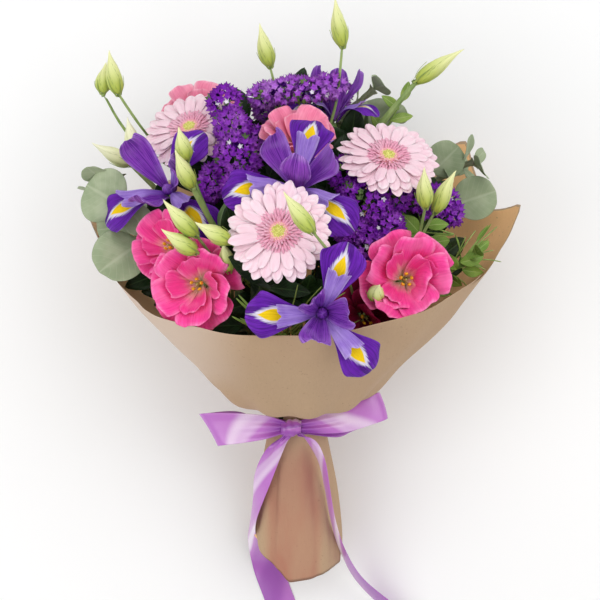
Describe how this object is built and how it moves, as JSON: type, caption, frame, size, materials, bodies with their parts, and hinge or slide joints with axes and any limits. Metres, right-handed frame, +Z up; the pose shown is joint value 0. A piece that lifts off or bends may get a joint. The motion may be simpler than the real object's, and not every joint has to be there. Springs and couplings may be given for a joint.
{
  "type": "mixed flower bouquet",
  "caption": "Mixed bouquet of gerbera, iris, lisianthus and statice in a kraft paper cone tied with a satin ribbon bow, lying on its back.",
  "frame": {"origin": "middle of the underside of the whole, on the surface that the bouquet lies on", "axes": "+Z up, away from that surface; +Y along the bouquet from its cut stems towards the flowers; +X to the right seen from above"},
  "size_m": [0.3712, 0.5394, 0.3365],
  "materials": {
    "kraft_paper": "matt brown kraft paper with fine fibres, warmer and darker inside",
    "twine": "rough natural jute",
    "satin": "glossy orchid-lilac satin",
    "stem_green": "fresh green stem, slightly waxy",
    "spray_green": "yellow-green buds and stalks, waxy",
    "spray_cream": "pale cream-green buds, waxy",
    "eucalyptus": "powdery sage green leaves",
    "dark_leaf": "dark glossy leaves",
    "light_leaf": "light green leaves and grass",
    "gerbera_heart": "velvety pink ring round a yellow-green eye",
    "gerbera_petal": "pale pink rays with fine lengthwise veins",
    "iris_petal": "violet-blue petals with a yellow blotch edged white on each fall",
    "lisianthus_pink": "hot pink ruffled petals with lighter edges",
    "lisianthus_coral": "coral pink ruffled petals",
    "lisianthus_crimson": "dark crimson petals",
    "statice_floret": "papery deep purple florets with a few white specks"
  },
  "bodies": {
    "root": {"paper_wrap": "kraft_paper", "binding_twine": "twine", "satin_ribbon": "satin", "gerbera_centre_stem": "stem_green", "gerbera_right_stem": "stem_green", "gerbera_left_stem": "stem_green", "iris_low_stem": "stem_green", "iris_centre_stem": "stem_green", "iris_left_stem": "stem_green", "iris_top_stem": "stem_green", "lisianthus_left_spray": "spray_green", "lisianthus_right_spray": "spray_green", "lisianthus_top_left_spray": "spray_green", "lisianthus_top_spray": "spray_green", "lisianthus_low_spray": "spray_green", "lisianthus_buds_right_spray": "spray_green", "lisianthus_buds_left_spray": "spray_green", "lisianthus_buds_pale_spray": "spray_cream", "statice_top_stem": "stem_green", "statice_left_stem": "stem_green", "statice_right_stem": "stem_green", "statice_low_stem": "stem_green", "eucalyptus_left": "eucalyptus", "eucalyptus_right": "eucalyptus", "eucalyptus_top": "eucalyptus", "foliage_back": "dark_leaf", "foliage_back_right": "dark_leaf", "foliage_front": "dark_leaf", "sprig_right": "light_leaf", "grass_front": "light_leaf", "gerbera_centre_heart": "gerbera_heart", "gerbera_right_heart": "gerbera_heart", "gerbera_left_heart": "gerbera_heart", "gerbera_centre_petals": "gerbera_petal", "gerbera_right_petals": "gerbera_petal", "gerbera_left_petals": "gerbera_petal", "iris_low_bloom": "iris_petal", "iris_centre_bloom": "iris_petal", "iris_left_bloom": "iris_petal", "iris_top_bloom": "iris_petal", "lisianthus_left_bloom": "lisianthus_pink", "lisianthus_bloom_upper_left": "lisianthus_pink", "lisianthus_right_bloom": "lisianthus_pink", "lisianthus_top_left_bloom": "lisianthus_coral", "lisianthus_top_bloom": "lisianthus_coral", "lisianthus_low_bloom": "lisianthus_crimson", "statice_top_florets": "statice_floret", "statice_left_florets": "statice_floret", "statice_right_florets": "statice_floret", "statice_low_florets": "statice_floret"}
  },
  "joints": []
}
